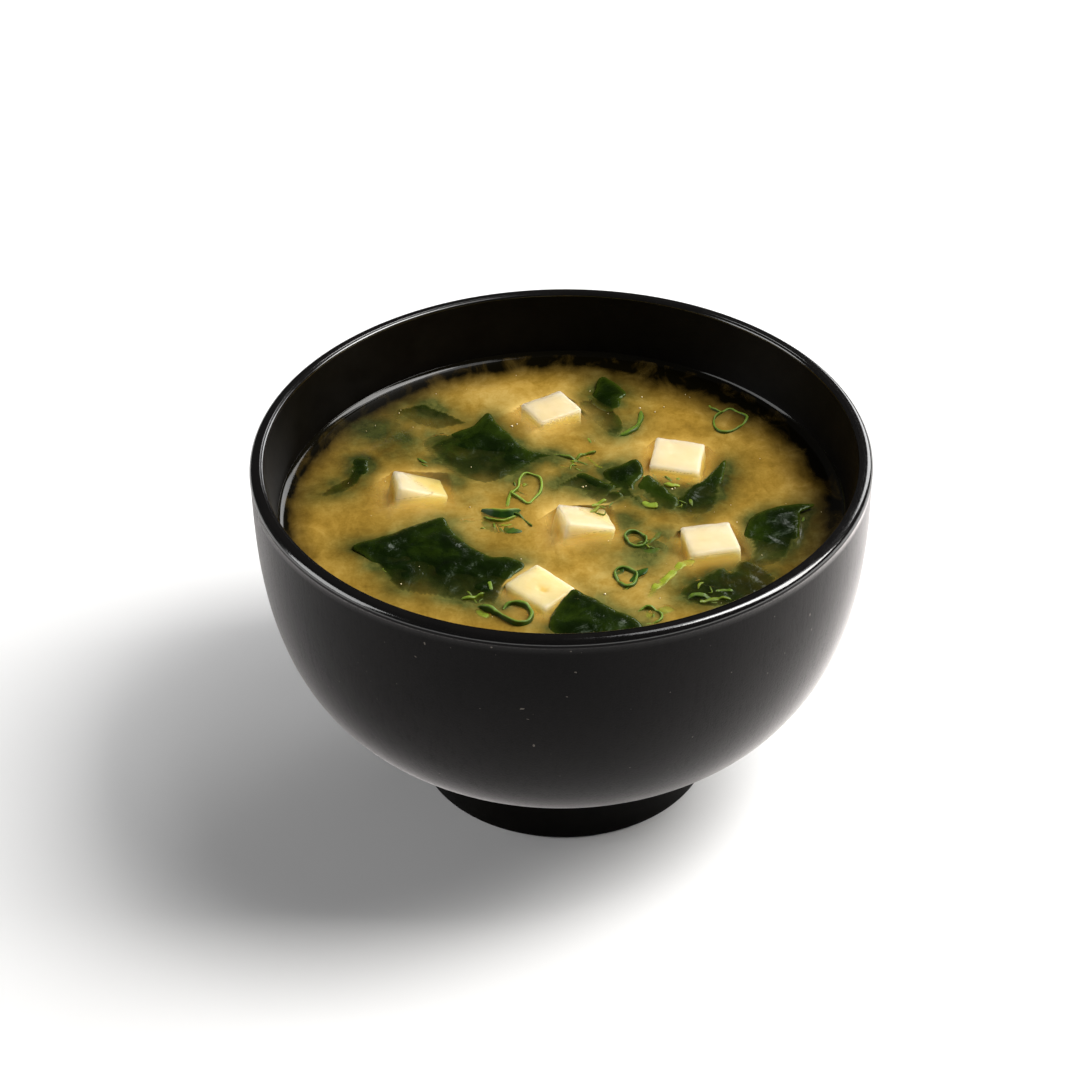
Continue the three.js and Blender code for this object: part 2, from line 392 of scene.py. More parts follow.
def soup_material():
    m, nt, p = new_material("soup_broth")
    big = noise_node(nt, 60, 5, 0.55, 0.5, stretch=(1, 0.6, 1))
    mid = noise_node(nt, 190, 6, 0.62, 0.7, stretch=(1, 0.62, 1))
    fine = noise_node(nt, 640, 5, 0.68, 0.5)
    grain = noise_node(nt, 2300, 2, 0.6)
    blend = math_node(nt, "ADD", math_node(nt, "MULTIPLY", big.outputs["Fac"], 0.42), math_node(nt, "MULTIPLY", mid.outputs["Fac"], 0.34))
    blend = math_node(nt, "ADD", blend, math_node(nt, "MULTIPLY", fine.outputs["Fac"], 0.18))
    blend = math_node(nt, "ADD", blend, math_node(nt, "MULTIPLY", grain.outputs["Fac"], 0.06))
    col = ramp(nt, blend, [
        (0.38, srgb(126, 97, 32)),
        (0.45, srgb(150, 117, 42)),
        (0.51, srgb(168, 133, 54)),
        (0.56, srgb(182, 147, 68)),
        (0.63, srgb(198, 166, 90)),
    ])
    green = attribute(nt, "green")
    veil = math_node(nt, "MULTIPLY", green, math_node(nt, "ADD", math_node(nt, "MULTIPLY", mid.outputs["Fac"], 1.2), 0.5), clamp=True)
    dull = ramp(nt, blend, [(0.40, srgb(32, 40, 12)), (0.5, srgb(68, 72, 30)), (0.60, srgb(108, 106, 52))])
    col = mix_colour(nt, veil, col, dull)
    # painted glow: the broth around the tofu is painted brighter, standing in for light the tofu passes on
    glow = attribute(nt, "glow")
    bright = ramp(nt, blend, [(0.4, srgb(212, 168, 72)), (0.6, srgb(238, 202, 116))])
    col = mix_colour(nt, glow, col, bright)
    # near-black where clear broth lies over the black wall, with the rim's painted shadow on the right
    clear_broth_and_rim_shade = attribute(nt, "clear_broth_and_rim_shade")
    clear_broth_and_rim_shade_mix = math_node(nt, "MULTIPLY", clear_broth_and_rim_shade, math_node(nt, "SUBTRACT", 1.25, math_node(nt, "MULTIPLY", mid.outputs["Fac"], 0.5)), clamp=True)
    col = mix_colour(nt, clear_broth_and_rim_shade_mix, col, srgb(9, 7, 2))
    nt.links.new(col, p.inputs["Base Color"])
    haze = attribute(nt, "haze")
    path = nt.nodes.new("ShaderNodeLightPath")
    open_shadow = math_node(nt, "SUBTRACT", 1.0, math_node(nt, "MULTIPLY", path.outputs["Is Shadow Ray"], 0.85))
    nt.links.new(math_node(nt, "MULTIPLY", haze, open_shadow, clamp=True), p.inputs["Alpha"])
    nt.links.new(bump(nt, mid.outputs["Fac"], 0.05, 0.0005), p.inputs["Normal"])
    p.inputs["Roughness"].default_value = 0.10
    p.inputs["IOR"].default_value = 1.33
    return m


def cloud_material():
    m, nt, p = new_material("miso_cloud")
    big = noise_node(nt, 90, 5, 0.6, 0.8)
    col = ramp(nt, big.outputs["Fac"], [(0.32, srgb(158, 122, 44)), (0.5, srgb(178, 140, 58)), (0.68, srgb(194, 156, 74))])
    nt.links.new(col, p.inputs["Base Color"])
    nt.links.new(bump(nt, big.outputs["Fac"], 0.4, 0.002), p.inputs["Normal"])
    p.inputs["Roughness"].default_value = 0.7
    p.inputs["IOR"].default_value = 1.1
    p.inputs["Subsurface Weight"].default_value = 0.8
    p.inputs["Subsurface Radius"].default_value = (1.0, 0.7, 0.3)
    p.inputs["Subsurface Scale"].default_value = 0.006
    return m


def tofu_material():
    m, nt, p = new_material("tofu_curd")
    soft = noise_node(nt, 190, 4, 0.55)
    fine = noise_node(nt, 1300, 3, 0.6)
    col = ramp(nt, soft.outputs["Fac"], [(0.3, srgb(230, 202, 150)), (0.55, srgb(234, 208, 162)), (0.75, srgb(238, 215, 174))])
    dimple = attribute(nt, "dimple")
    col = mix_colour(nt, dimple, col, srgb(238, 200, 112))
    wet = attribute(nt, "wet")
    col = mix_colour(nt, 1.0, col, ramp(nt, wet, [(0.0, (1, 1, 1, 1)), (0.16, srgb(252, 248, 196)), (0.5, srgb(250, 240, 150)), (1.0, srgb(230, 204, 96))]), "MULTIPLY")
    nt.links.new(col, p.inputs["Base Color"])
    nt.links.new(bump(nt, fine.outputs["Fac"], 0.10, 0.0002), p.inputs["Normal"])
    p.inputs["Roughness"].default_value = 0.42
    p.inputs["IOR"].default_value = 1.36
    p.inputs["Subsurface Weight"].default_value = 0.95
    p.inputs["Subsurface Radius"].default_value = (1.0, 1.0, 0.8)
    p.inputs["Subsurface Scale"].default_value = 0.010
    return m


def wakame_material():
    m, nt, p = new_material("wakame_leaf")
    broad = noise_node(nt, 150, 5, 0.6, 0.4)
    fine = noise_node(nt, 900, 4, 0.65)
    col = ramp(nt, broad.outputs["Fac"], [(0.30, srgb(6, 14, 1)), (0.5, srgb(13, 25, 2)), (0.70, srgb(32, 46, 5))])
    # painted glow: lighter green along the leaf rims, standing in for light let through the thin edge
    edge = attribute(nt, "edge")
    col = mix_colour(nt, edge, col, srgb(60, 73, 14))
    nt.links.new(col, p.inputs["Base Color"])
    fold = noise_node(nt, 380, 3, 0.5, 0.6)
    both = math_node(nt, "ADD", math_node(nt, "MULTIPLY", fold.outputs["Fac"], 2.4), math_node(nt, "MULTIPLY", fine.outputs["Fac"], 0.3))
    nt.links.new(bump(nt, both, 0.22, 0.0008), p.inputs["Normal"])
    p.inputs["Roughness"].default_value = 0.22
    p.inputs["IOR"].default_value = 1.28
    p.inputs["Specular Tint"].default_value = (0.8, 1.0, 0.7, 1)
    return m


def scallion_material():
    m, nt, p = new_material("scallion")
    along = noise_node(nt, 600, 4, 0.6)
    tone = attribute(nt, "tone")
    dark = ramp(nt, along.outputs["Fac"], [(0.3, srgb(16, 46, 3)), (0.7, srgb(38, 78, 8))])
    light = ramp(nt, along.outputs["Fac"], [(0.3, srgb(112, 124, 10)), (0.7, srgb(160, 160, 30))])
    col = mix_colour(nt, tone, dark, light)
    cut = attribute(nt, "cut")
    col = mix_colour(nt, cut, col, srgb(130, 160, 56))
    nt.links.new(col, p.inputs["Base Color"])
    nt.links.new(bump(nt, along.outputs["Fac"], 0.15, 0.0002), p.inputs["Normal"])
    p.inputs["Roughness"].default_value = 0.42
    p.inputs["IOR"].default_value = 1.4
    return m


def bubble_material():
    m, nt, p = new_material("bubble")
    tone = noise_node(nt, 500, 2, 0.5)
    col = ramp(nt, tone.outputs["Fac"], [(0.3, srgb(214, 190, 130)), (0.7, srgb(246, 232, 196))])
    nt.links.new(col, p.inputs["Base Color"])
    p.inputs["Roughness"].default_value = 0.08
    p.inputs["IOR"].default_value = 1.4
    return m


def floor_material():
    m, nt, p = new_material("floor")
    tone = noise_node(nt, 3, 2, 0.5)
    col = ramp(nt, tone.outputs["Fac"], [(0.3, (0.93, 0.93, 0.93, 1)), (0.7, (0.95, 0.95, 0.95, 1))])
    nt.links.new(col, p.inputs["Base Color"])
    p.inputs["Roughness"].default_value = 0.9
    p.inputs["IOR"].default_value = 1.2
    return m


MAT_SATIN, MAT_GLOSS, MAT_INSIDE = bowl_satin(), bowl_gloss(), bowl_inside()
MAT_SOUP, MAT_CLOUD = soup_material(), cloud_material()
MAT_TOFU, MAT_WAKAME, MAT_SCALLION = tofu_material(), wakame_material(), scallion_material()
MAT_BUBBLE = bubble_material()

# ------------------------------------------------------------------------ bowl


def arc(cx, cz, r, a0, a1, n):
    a = np.radians(np.linspace(a0, a1, n))
    return [(cx + r * math.cos(t), cz + r * math.sin(t)) for t in a]


def build_bowl():
    prof, gloss = [], []

    def put(points, shiny):
        for q in points:
            prof.append(q)
            gloss.append(shiny)

    foot_in = FOOT_R - FOOT_WALL
    put([(0, FOOT_RECESS)], False)
    put([(r, FOOT_RECESS - 0.4 * (r / 22.0) ** 4) for r in np.linspace(3, 20.5, 8)], False)
    put(arc(foot_in - 2.9, FOOT_RECESS - 2.6, 2.3, 88, 6, 8), False)
    put([(foot_in - 0.45 + 0.45 * t, (FOOT_RECESS - 3.4) * (1 - t) + 0.8 * t) for t in np.linspace(0.1, 1, 8)], False)
    put(arc(foot_in + 0.6, 0.6, 0.6, 180, 270, 6), False)
    put([(r, 0.0) for r in np.linspace(foot_in + 1.0, FOOT_R - 0.9, 4)], False)
    put(arc(FOOT_R - 0.5, 0.5, 0.5, -90, 0, 6), 2)
    t0 = 1 - (1 - (FOOT_R / BODY_R) ** BODY_Q) ** (1 / BODY_P)
    z_foot = BODY_Z0 + t0 * (BOWL_H - LIP_ROUND - BODY_Z0)
    put([(FOOT_R, z) for z in np.linspace(1.0, z_foot - 0.7, 14)], 2)
    # a small fillet where the body leaves the foot
    z_top = BOWL_H - LIP_BAND
    zs = z_foot + 0.03 + (z_top - z_foot) * np.linspace(0, 1, 64) ** 1.7
    body = [(body_radius(z), z) for z in zs if body_radius(z) > FOOT_R + 0.5 and z < z_top - 0.05]
    put([(FOOT_R + 0.12, z_foot - 0.25)], False)
    put(body, False)
    edge = body_radius(z_top)
    put([(edge, z_top - 0.02)], False)
    # the polished rim stands a hair proud of the body
    put([(edge + 0.02, z_top), (LIP_R - 0.03, z_top + 0.1), (LIP_R, z_top + 0.3)], False)
    put(arc(LIP_R - LIP_ROUND, BOWL_H - LIP_ROUND, LIP_ROUND, 2, 8, 2), False)
    put(arc(LIP_R - LIP_ROUND, BOWL_H - LIP_ROUND, LIP_ROUND, 14, 84, 14), True)
    flat = np.linspace(LIP_R - LIP_ROUND - 0.1, MOUTH_R + 0.55, 5)
    put([(r, BOWL_H - 0.0 - 0.03 * ((r - 55.8) / 0.6) ** 2) for r in flat], True)
    put(arc(MOUTH_R + 0.5, BOWL_H - 0.55, 0.5, 80, 180, 10), True)
    t = np.linspace(1, 0, 72)[1:-1]
    for q in t:
        z = INNER_Z0 + (BOWL_H - 0.9 - INNER_Z0) * q ** 1.7
        put([(inner_radius(z), z)], 2)
    put([(0, INNER_Z0)], 2)
    verts, faces, span = lathe(prof, 256)
    shiny = np.array([gloss[min(k + 1, len(gloss) - 1)] for k in range(len(prof) - 1)])
    ob = make_piece("bowl_turned", verts, faces, [MAT_SATIN, MAT_GLOSS, MAT_INSIDE], shiny[span].astype(int))
    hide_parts("bowl")
    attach(ob, "root")
    return ob


bowl = build_bowl()

# ------------------------------------------------------------------------ tofu
# place of the middle of the top face, edge lengths, heading and dips, as the solids have

TOFU = [
    (-1.7, 33.6, 57.8, 9.3, 8.2, 9.4, 30.7, 0.0, 1.5),
    (22.6, 16.4, 57.8, 9.8, 9.9, 9.3, -14.0, 1.0, 0.5),
    (-26.4, 9.0, 56.9, 9.8, 9.0, 9.4, 8.0, 20.0, 12.0),
    (4.6, -3.2, 57.6, 9.6, 9.2, 9.4, 10.5, 16.0, 11.0),
    (27.4, -11.2, 57.8, 9.5, 9.1, 9.3, 10.5, 0.5, 1.0),
    (-4.2, -24.7, 57.8, 10.3, 8.4, 9.4, -45.8, 2.0, 0.0),
]


def rot(axis, degrees):
    c, s = math.cos(math.radians(degrees)), math.sin(math.radians(degrees))
    if axis == "x":
        return np.array([[1, 0, 0], [0, c, -s], [0, s, c]])
    if axis == "y":
        return np.array([[c, 0, s], [0, 1, 0], [-s, 0, c]])
    return np.array([[c, -s, 0], [s, c, 0], [0, 0, 1]])


def cube_grid(n):
    """Unit cube surface, n cells an edge, vertices shared along the edges."""
    t = np.sin(np.linspace(-math.pi / 2, math.pi / 2, n + 1))
    t = 0.55 * t + 0.45 * np.linspace(-1, 1, n + 1)
    index, verts, faces = {}, [], []

    def vid(i, j, k):
        key = (i, j, k)
        if key not in index:
            index[key] = len(verts)
            verts.append((t[i], t[j], t[k]))
        return index[key]

    for a in range(n):
        for b in range(n):
            for end in (0, n):
                q = [(a, b), (a + 1, b), (a + 1, b + 1), (a, b + 1)]
                top = [vid(i, j, end) for i, j in q]
                sx = [vid(end, i, j) for i, j in q]
                sy = [vid(j, end, i) for i, j in q]
                for f in (top, sx, sy):
                    faces.append(tuple(f if end == n else f[::-1]))
    return np.array(verts), faces


CUBE_V, CUBE_F = cube_grid(22)


def build_tofu(i, x, y, top, a, b, h, yaw, dip_a, dip_b):
    c = CUBE_V.copy()
    half = np.array([a, b, h]) / 2
    rnd = 0.55
    p = c * half
    core = np.clip(p, -(half - rnd), half - rnd)
    d = p - core
    # distance from the face planes keeps corners soft
    length = np.linalg.norm(d, axis=1)[:, None]
    p = np.where(length > 1e-9, core + d / np.maximum(length, 1e-9) * rnd, p)
    # hollow faces, and corners drawn out a little
    for k in range(3):
        o1, o2 = c[:, (k + 1) % 3], c[:, (k + 2) % 3]
        face = smooth_step(0.8, 1.0, np.abs(c[:, k]))
        sag = (0.15 if k == 2 else 0.12) * (1 - o1 ** 2) * (1 - 0.6 * o2 ** 2)
        wob = 0.16 * fractal(o1 * 5 + 11 * k, o2 * 5 + 7 * i, 3.2, 40 + 7 * i + k)
        p[:, k] -= np.sign(c[:, k]) * face * (sag - wob)
    corner = np.prod(np.abs(c), axis=1) ** 3
    p *= (1 - 0.012 * corner)[:, None]
    # a cut that is not quite square
    rng = np.random.default_rng(90 + i)
    sh = rng.normal(0, 0.03, 4)
    p[:, 0] += sh[0] * p[:, 1] + sh[1] * p[:, 2]
    p[:, 1] += sh[2] * p[:, 2]
    dimple = np.zeros(len(p))
    if i == 6:
        q = np.exp(-(((c[:, 0] - 0.18) / 0.20) ** 2 + ((c[:, 1] + 0.06) / 0.13) ** 2)) * (c[:, 2] > 0.9)
        p[:, 2] -= 0.55 * q
        dimple = np.clip(q * 1.1, 0, 1)
    p[:, 2] -= h / 2
    m = rot("z", yaw) @ rot("y", dip_a) @ rot("x", -dip_b)
    p = p @ m.T + np.array([x, y, top])
    wet = np.clip((SOUP_Z + 0.3 - p[:, 2]) / 6.0, 0.08 if i == 6 else 0, 1)
    ob = make_piece(f"tofu_die_{i}", p, CUBE_F, [MAT_TOFU], attributes={"dimple": 0.7 * dimple, "wet": wet})
    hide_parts(f"tofu_{i}")
    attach(ob, "root")
    return p


tofu_verts = [build_tofu(i + 1, *row) for i, row in enumerate(TOFU)]

# ---------------------------------------------------------------------- wakame
# Each leaf: corners of its outline as (photo x, photo y, height above the soup's level in mm).

LEAVES = {
    1: [[(352, 547, .3), (378, 538, .4), (404, 529, .5), (424, 522, .7), (442, 517, .9), (450, 528, .7), (464, 542.6, .5), (487, 555, .2), (501, 557, .5),
         (511, 558, .5), (525, 565, .4), (512, 577, .0), (503, 590, -.3), (497, 604, -.7), (478, 608, -1.0), (452, 603, -1.0), (430, 599, -1.2),
         (406, 596, -1.2), (392, 587, -.8), (384, 577, -.4), (366, 558, .0)]],
    2: [[(488, 413, .9), (498, 424, .7), (509, 433, .5), (527, 450, .2), (553, 455, .1), (538, 463, -.2), (524, 472, -.5), (508, 481, -.9), (488, 487, -1.3),
         (470, 482, -1.3), (452, 470, -1.0), (436, 458, -.8), (429, 447, -.6), (444, 438, -.2), (457, 432, .1), (474, 426, .4)]],
    3: [[(352, 461, -.1), (362, 459, .1), (369, 461, .1), (368, 474, -.1), (360, 486, -.5), (340, 497, -.9), (318, 502, -1.2), (330, 490, -1.0), (346, 478, -.5)]],
    4: [[(601.6, 377.7, .7), (615.5, 384, .6), (625.6, 393.5, .5), (621.2, 399, .2), (620.3, 407, .0), (612, 412, -.2), (601, 410, -.4), (592, 402, -.2), (594.4, 391, .2)],
        [(579, 405, -1.0), (592, 402, -.7), (612, 410, -.4), (621, 419, -.4), (623, 431, -.6), (613, 438, -1.2), (602, 432, -1.8), (588, 420, -1.6)]],
    5: [[(636, 460, .7), (643, 467, .6), (642.5, 476, .3), (634, 487, .1), (645, 505, -.5), (632, 502, -.7), (618, 491, -.4), (606, 481, .0), (605, 471, .3), (626, 463, .6)],
        [(577, 472.5, .4), (588, 473, .4), (605, 482, .2), (616, 487, .1), (606, 496, -.3), (590, 498, -.8), (577, 491, -.8), (557, 487, -.4), (567, 478, .1)],
        [(584, 488, .0), (610, 488, .2), (624, 494, .3), (612, 502, -.4), (598, 504, -.8), (588, 498, -.6)]],
    6: [[(645, 476.5, .3), (655, 479, .3), (664, 487, .2), (672, 494, .1), (679, 500, .0), (672, 512, -.6), (662, 510, -.7), (650, 501, -.5), (638, 490, -.1)],
        [(725.5, 460.4, .9), (715, 468.5, .6), (704, 479, .3), (691, 484.6, .1), (681, 494, .0), (675, 507, -.5), (690, 516, -1.0), (708, 515, -1.0), (718.5, 502, -.4), (723, 479, .3)]],
    7: [[(744, 531, .2), (752, 518, .5), (761, 511, .6), (785, 506, .7), (814, 504, .9), (806, 510, .6), (800, 514, .4), (799, 530, .2), (798, 540, -.1),
         (792, 553, -.5), (778, 566, -1.2), (762, 572, -1.8), (750, 567, -1.6), (752, 550, -.6), (746, 540, -.2)]],
    8: [[(549, 628, .1), (555, 611, .3), (564, 598, .6), (574, 590, .8), (590, 597, .6), (615, 610, .4), (641, 624, .2), (634, 640, -.1), (604, 648, -.4), (566, 643, -.3)]],
}
SUNK = [
    [(394, 414, -.9), (410, 407, -.5), (423, 404, -.3), (436, 408, -.3), (452, 415, -.4), (468, 425, -.7), (452, 431, -1.2), (438, 434, -1.6), (424, 431, -1.8), (410, 424, -1.5)],
    [(424, 442, -1.0), (440, 434, -.8), (456, 440, -.8), (470, 456, -.8), (480, 474, -1.2), (466, 482, -1.9), (448, 472, -2.0), (432, 458, -1.8)],
    [(680, 592, -.3), (690, 580, -.1), (699, 578, -.3), (708, 571, .1), (722, 566, .0), (731, 570, -.3), (742, 558, .1), (762, 566, -.2), (776, 577, -.3), (772, 594, -.3), (745, 603, -.3), (715, 607, -.3), (694, 605, -.3)],
    [(622, 545, -1.8), (640, 536, -1.4), (660, 538, -1.3), (668, 548, -1.6), (654, 562, -2.0), (634, 562, -2.2)],
    [(640, 500, -1.4), (660, 496, -1.2), (684, 506, -1.2), (700, 518, -1.6), (684, 528, -2.0), (656, 520, -2.0)],
    [(368, 428, -2.0), (388, 420, -1.8), (404, 430, -1.8), (408, 446, -2.1), (390, 452, -2.4), (374, 444, -2.4)],
]
LEAF_THICK = 0.42


def leaf_mesh(corners, seed):
    rim = spline(path_at(corners), 150, True)
    rim[:, 2] -= SOUP_Z
    along = np.linspace(0, 60, len(rim), endpoint=False)
    mid = rim[:, :2].mean(0)
    out = rim[:, :2] - mid
    out /= np.linalg.norm(out, axis=1)[:, None] + 1e-9
    rim[:, :2] += out * (0.16 * noise2(along, along * 0 + seed, 2.0, seed))[:, None]
    step = 0.55
    lo, hi = rim[:, :2].min(0), rim[:, :2].max(0)
    gx, gy = np.meshgrid(np.arange(lo[0], hi[0], step), np.arange(lo[1], hi[1], step * 0.866))
    gx[1::2] += step / 2
    grid = np.c_[gx.ravel(), gy.ravel()]
    grid = grid[inside(rim[:, :2], grid)]
    near = np.sqrt(((grid[:, None] - rim[None, :, :2]) ** 2).sum(-1))
    keep = near.min(1) > step * 0.55
    grid, near = grid[keep], near[keep]
    pts = np.r_[rim[:, :2], grid]
    n = len(rim)
    loops = [(i, (i + 1) % n) for i in range(n)]
    cv, _, cf, _, _, _ = delaunay_2d_cdt([Vector(q) for q in pts.tolist()], loops, [], 1, 1e-6)
    xy = np.array([[q[0], q[1]] for q in cv])
    tris = np.array([f for f in cf if len(f) == 3], dtype=int)
    used = np.unique(tris)
    remap = np.full(len(xy), -1)
    remap[used] = np.arange(len(used))
    xy, tris = xy[used], remap[tris]
    area = np.cross(xy[tris[:, 1]] - xy[tris[:, 0]], xy[tris[:, 2]] - xy[tris[:, 0]])
    tris[area < 0] = tris[area < 0][:, ::-1]
    dist = np.sqrt(((xy[:, None] - rim[None, :, :2]) ** 2).sum(-1))
    w = 1 / (dist + 0.05) ** 2.5
    z = (w * rim[None, :, 2]).sum(1) / w.sum(1)
    gap = dist.min(1)
    ease = smooth_step(0.0, 3.0, gap)
    size = max(hi - lo)
    # folds run along the leaf, with finer crumpling between them
    z = z + ease * (0.6 * fractal(xy[:, 0] + 0.6 * xy[:, 1], xy[:, 1] * 1.6, 6.0, seed + 3) + 0.26 * noise2(xy[:, 0] - 0.5 * xy[:, 1], xy[:, 1], 3.0, seed + 5) + 0.05 * noise2(xy[:, 0], xy[:, 1], 1.3, seed + 6)) * min(1.0, size / 14)
    z = z + 0.15 * ease
    z = z + 0.18 * (1 - ease) * noise2(xy[:, 0], xy[:, 1], 2.6, seed + 9)
    top = np.c_[xy, z + SOUP_Z]
    nrm = normals_of(top, tris)
    half = (LEAF_THICK / 2 * (0.35 + 0.65 * smooth_step(0, 0.6, gap)))[:, None]
    verts = np.r_[top + nrm * half, top - nrm * half]
    m = len(top)
    edges = {}
    for f in tris:
        for k in range(3):
            a, b = int(f[k]), int(f[(k + 1) % 3])
            edges[(a, b)] = True
    rimfaces = [(b, a, a + m, b + m) for (a, b) in edges if (b, a) not in edges]
    faces = [tuple(f) for f in tris] + [tuple(f[::-1] + m) for f in tris] + rimfaces
    # painted glow weight near the rim, for light let through the thin leaf edge
    glow = np.exp(-gap / 0.5)
    return verts, faces, np.r_[glow, glow]


leaf_bodies = []


def build_leaf(name, outlines, seed, replaced):
    parts = Parts()
    for k, corners in enumerate(outlines):
        v, f, e = leaf_mesh(corners, seed + 31 * k)
        if k:
            v[:, 2] -= 0.25 * k
        parts.add(v, f, edge=e * 0.8)
    v, f, extra = parts.all()
    ob = make_piece(name, v, f, [MAT_WAKAME], attributes=extra)
    if replaced:
        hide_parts(replaced)
    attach(ob, "root")
    leaf_bodies.append((v, f))


for key, outlines in LEAVES.items():
    build_leaf(f"wakame_leaf_{key}", outlines, 100 * key, f"wakame_{key}")
build_leaf("wakame_sunk", SUNK, 1200, None)

# -------------------------------------------------------------------- scallion


def ribbon(path, width, height, closed=False, lean=0.0, blade=False):
    """A strip with a rounded rectangular section swept along a path; height runs up, width across."""
    p = np.asarray(path, float)
    n = len(p)
    if closed:
        tan = np.roll(p, -1, 0) - np.roll(p, 1, 0)
    else:
        tan = np.gradient(p, axis=0)
    tan /= np.linalg.norm(tan, axis=1)[:, None] + 1e-9
    side = np.c_[-tan[:, 1], tan[:, 0], np.zeros(n)]
    side /= np.linalg.norm(side, axis=1)[:, None] + 1e-9
    up = np.cross(tan, side)
    c, s = math.cos(lean), math.sin(lean)
    side, up = side * c + up * s, up * c - side * s
    k = 12
    a = (np.arange(k) + 0.5) / k * 2 * math.pi
    sx = np.sign(np.cos(a)) * np.abs(np.cos(a)) ** 0.45
    sy = np.sign(np.sin(a)) * np.abs(np.sin(a)) ** 0.45
    scale = np.ones(n)
    if not closed:
        t = np.linspace(0, 1, n)
        scale = 0.06 + 0.94 * np.sin(math.pi * t) ** 0.75 if blade else np.clip(np.minimum(t, 1 - t) * 9 + 0.35, 0, 1)
    w = np.broadcast_to(np.asarray(width, float), (n,)) * scale
    h = np.broadcast_to(np.asarray(height, float), (n,)) * np.sqrt(scale)
    ring = p[:, None] + side[:, None] * (sx[None, :, None] * w[:, None, None] / 2) + up[:, None] * (sy[None, :, None] * h[:, None, None] / 2)
    verts = ring.reshape(-1, 3)
    faces = []
    spans = n if closed else n - 1
    for i in range(spans):
        j = (i + 1) % n
        for q in range(k):
            r = (q + 1) % k
            faces.append((i * k + q, j * k + q, j * k + r, i * k + r)[::-1])
    if not closed:
        faces.append(tuple(range(k)))
        faces.append(tuple((n - 1) * k + q for q in range(k))[::-1])
    cut = np.tile(smooth_step(0.75, 1.0, sy), n)
    return verts, faces, cut


scallion = Parts()


def strip(points, width, height, tone=0.0, closed=False, lean=0.0, count=40, cut=0.5, wobble=0.15, seed=1, blade=False):
    p = spline(path_at(points), count, closed)
    t = np.arange(count) * 0.9
    p[:, 2] += 2.4 * wobble * noise2(t, t * 0 + seed, 4.0, 500 + seed) - 0.3
    w = width * (1 + 0.4 * noise2(t, t * 0 + seed, 5.0, 600 + seed))
    v, f, c = ribbon(p, w, height, closed, lean, blade)
    scallion.add(v, f, tone=tone, cut=c * cut)


# ring with a stalk, front left of centre
strip([(478, 606, .1), (487, 608, .3), (497, 613, .4), (508, 620, .4), (519, 624, .4), (529, 621, .4), (532, 613, .4), (527, 606, .4), (518, 603, .4), (508, 604, .3), (503, 609, .1)],
      0.62, 1.6, 0.06, count=70, seed=1)
strip([(478, 608, .0), (482, 613, .1), (489, 616, .1)], 1.6, 0.7, 0.85, count=12, seed=2)
strip([(462, 599, .0), (472, 597, .4), (484, 594, .5)], 0.6, 1.0, 0.35, count=16, seed=3)
strip([(489, 580, .3), (491, 588, .2), (493, 594, .0)], 1.0, 0.5, 0.2, count=12, seed=4)
# folded dark slices left of centre
strip([(481, 510, .3), (491, 512.5, .5), (502, 514.5, .5), (512, 513.5, .4), (521, 510.5, .1)], 0.5, 2.5, 0.0, count=40, seed=5, cut=0.9, wobble=0.06, lean=-0.5, blade=True)
strip([(484, 517, .1), (495, 520.5, .2), (507, 519.5, .2), (516, 516, .0)], 0.4, 1.2, 0.5, count=30, seed=38, cut=0.6, wobble=0.06)
strip([(482, 513, -.3), (487, 524, -.5), (495, 532, -.6), (503, 532, -.5)], 2.0, 0.45, 0.05, count=24, seed=6, blade=True, cut=0.1)
strip([(504, 527, -.1), (512, 530, .2), (523, 531, .1)], 2.2, 0.5, 0.05, count=18, seed=7, blade=True, cut=0.1)
strip([(511, 512, .3), (520, 515, .3), (527, 521, .3), (532, 526, .2)], 0.4, 0.5, 0.12, count=18, seed=8, cut=0.2)
strip([(497, 523, .1), (505, 524, .3), (513, 522, .3)], 0.5, 0.4, 0.8, count=14, seed=33, cut=0.1)
strip([(459, 521, -.5), (468, 521, -.4), (478, 520, -.4)], 0.9, 0.4, 0.2, count=14, seed=34, blade=True, cut=0.1)
# thin outline ring above them
strip([(512, 493, .3), (518, 488, .3), (520, 478, .3), (527, 473, .3), (540, 478, .3), (541, 490, .3), (534, 498, .3), (528, 502, .4), (520, 498, .3)], 0.45, 0.9, 0.45, closed=True, count=60, seed=9, cut=0.9)
strip([(507, 508, -.2), (509, 498, .1), (512, 490, .2)], 0.6, 0.5, 0.5, count=14, seed=10)
# threads over the middle
strip([(548, 453, .1), (566, 456, .3), (580, 461, .3), (594, 466, .2), (604, 469, .0)], 0.4, 0.5, 0.2, count=36, seed=11, cut=0.2)
strip([(576, 459, .3), (582, 454, .5), (590, 452, .6), (596, 451, .6)], 0.45, 0.5, 0.35, count=18, seed=12, cut=0.2)
strip([(586, 455, .0), (593, 461, .0), (602, 468, -.2)], 0.8, 0.5, 0.75, count=14, seed=13, cut=0.1)
strip([(559, 467, -.4), (570, 467, -.4), (580, 466, -.5)], 0.8, 0.5, 0.9, count=14, seed=14, cut=0.1)
strip([(592, 506, .1), (600, 502, .3), (606, 499, .3)], 0.6, 0.5, 0.7, count=12, seed=15)
strip([(590, 511, .0), (596, 507, .2), (601, 504, .2)], 0.5, 0.5, 0.6, count=12, seed=16)
strip([(643, 502, .1), (650, 505, .3), (658, 505, .3)], 1.3, 0.5, 0.6, count=14, seed=17)
strip([(664, 482, .2), (671, 485, .4), (680, 484, .4)], 0.9, 0.5, 0.8, count=14, seed=18)
strip([(644, 476, .3), (645, 481, .3), (645, 487, .2)], 0.5, 0.5, 0.6, count=12, seed=19)
